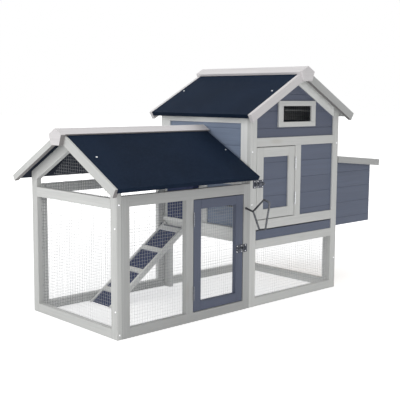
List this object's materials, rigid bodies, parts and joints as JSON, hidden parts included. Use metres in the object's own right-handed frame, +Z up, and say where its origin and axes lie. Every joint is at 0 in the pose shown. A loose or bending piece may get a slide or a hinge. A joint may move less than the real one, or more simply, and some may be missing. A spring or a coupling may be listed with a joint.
{
  "type": "chicken coop",
  "caption": "Timber chicken coop: raised boarded house with felt gable roof, pull-out tray, nest box and pop door, joined to a meshed run with a door and a ramp.",
  "frame": {"origin": "middle of the outline at ground level", "axes": "+X from the run's free end toward the nest box, +Y from the doors' side to the back, +Z up"},
  "size_m": [1.718, 0.7826, 1.04],
  "materials": {
    "white_timber": "brushed white paint",
    "blue_timber": "brushed blue-grey paint",
    "navy_timber": "dark navy paint",
    "black_board": "black stain",
    "plain_wood": "bare sawn softwood",
    "roof_felt": "mineral-faced bitumen felt",
    "net_wire": "galvanised welded wire",
    "tray_steel": "galvanised sheet",
    "galvanised_steel": "zinc plated"
  },
  "bodies": {
    "coop": {"run_end_frame": "white_timber", "run_wall_rafters": "white_timber", "run_front_frame": "white_timber", "run_back_frame": "white_timber", "run_bargeboards": "white_timber", "house_front_frame": "white_timber", "vent_frame": "white_timber", "house_left_frame": "white_timber", "house_right_frame": "white_timber", "house_back_frame": "white_timber", "house_bargeboards": "white_timber", "ridge_caps": "white_timber", "ridge_blocks": "white_timber", "tray_runners": "white_timber", "pop_door_tracks": "white_timber", "house_roof_panels": "white_timber", "house_front_boards": "blue_timber", "house_gable_boards": "blue_timber", "house_left_boards": "blue_timber", "house_right_boards": "blue_timber", "house_back_boards": "blue_timber", "nest_box_sides": "blue_timber", "nest_box_end": "blue_timber", "run_roof_panels": "black_board", "perch": "plain_wood", "nest_box_floor": "plain_wood", "nest_box_divider": "plain_wood", "roof_felt": "roof_felt", "run_end_mesh": "net_wire", "run_front_mesh": "net_wire", "run_back_mesh": "net_wire", "vent_mesh": "net_wire", "house_lower_meshes": "net_wire", "fixed_hinge_leaves": "galvanised_steel", "bolt_keepers": "galvanised_steel", "ramp_brackets": "galvanised_steel", "wood_screws": "galvanised_steel"},
    "run_door": {"run_door_frame": "blue_timber", "run_door_mesh": "net_wire", "run_door_leaves": "galvanised_steel", "run_door_bolt_plate": "galvanised_steel"},
    "run_bolt": {"run_door_bolt": "galvanised_steel"},
    "house_door": {"house_door_frame": "white_timber", "house_door_boards": "blue_timber", "house_door_leaves": "galvanised_steel", "house_door_bolt_plate": "galvanised_steel"},
    "house_bolt": {"house_door_bolt": "galvanised_steel"},
    "nest_lid": {"nest_lid_panel": "plain_wood", "nest_lid_felt": "roof_felt", "nest_lid_rims": "white_timber", "nest_lid_leaves": "galvanised_steel"},
    "pop_door": {"pop_door_panel": "navy_timber", "pull_rod": "galvanised_steel"},
    "tray": {"tray_front": "blue_timber", "tray_pan": "tray_steel"},
    "ramp": {"ramp_rails": "white_timber", "ramp_deck": "navy_timber", "ramp_rungs": "white_timber", "ramp_pivot": "galvanised_steel"}
  },
  "joints": [
    {"name": "run_door_hinge", "type": "hinge", "parent": "coop", "child": "run_door", "pos_m": [-0.4045, -0.25827, 0.25], "axis": [0, 0, -1], "range_deg": [0, 165]},
    {"name": "run_bolt_slide", "type": "slide", "parent": "run_door", "child": "run_bolt", "axis": [1, 0, 0], "range_m": [0, 0.0148]},
    {"name": "house_door_hinge", "type": "hinge", "parent": "coop", "child": "house_door", "pos_m": [0.2095, -0.25827, 0.535], "axis": [0, 0, 1], "range_deg": [0, 165]},
    {"name": "house_bolt_slide", "type": "slide", "parent": "house_door", "child": "house_bolt", "axis": [-1, 0, 0], "range_m": [0, 0.0148]},
    {"name": "nest_lid_hinge", "type": "hinge", "parent": "coop", "child": "nest_lid", "pos_m": [0.5207, 0.03533, 0.6336], "axis": [0, -1, 0], "range_deg": [0, 72]},
    {"name": "pop_door_slide", "type": "slide", "parent": "coop", "child": "pop_door", "axis": [0, -1, 0], "range_m": [0, 0.215]},
    {"name": "tray_slide", "type": "slide", "parent": "coop", "child": "tray", "axis": [0, -1, 0], "range_m": [0, 0.45]},
    {"name": "ramp_pivot", "type": "hinge", "parent": "coop", "child": "ramp", "pos_m": [-0.1, 0.21633, 0.3], "axis": [0, 1, 0], "range_deg": [0, 38]}
  ]
}
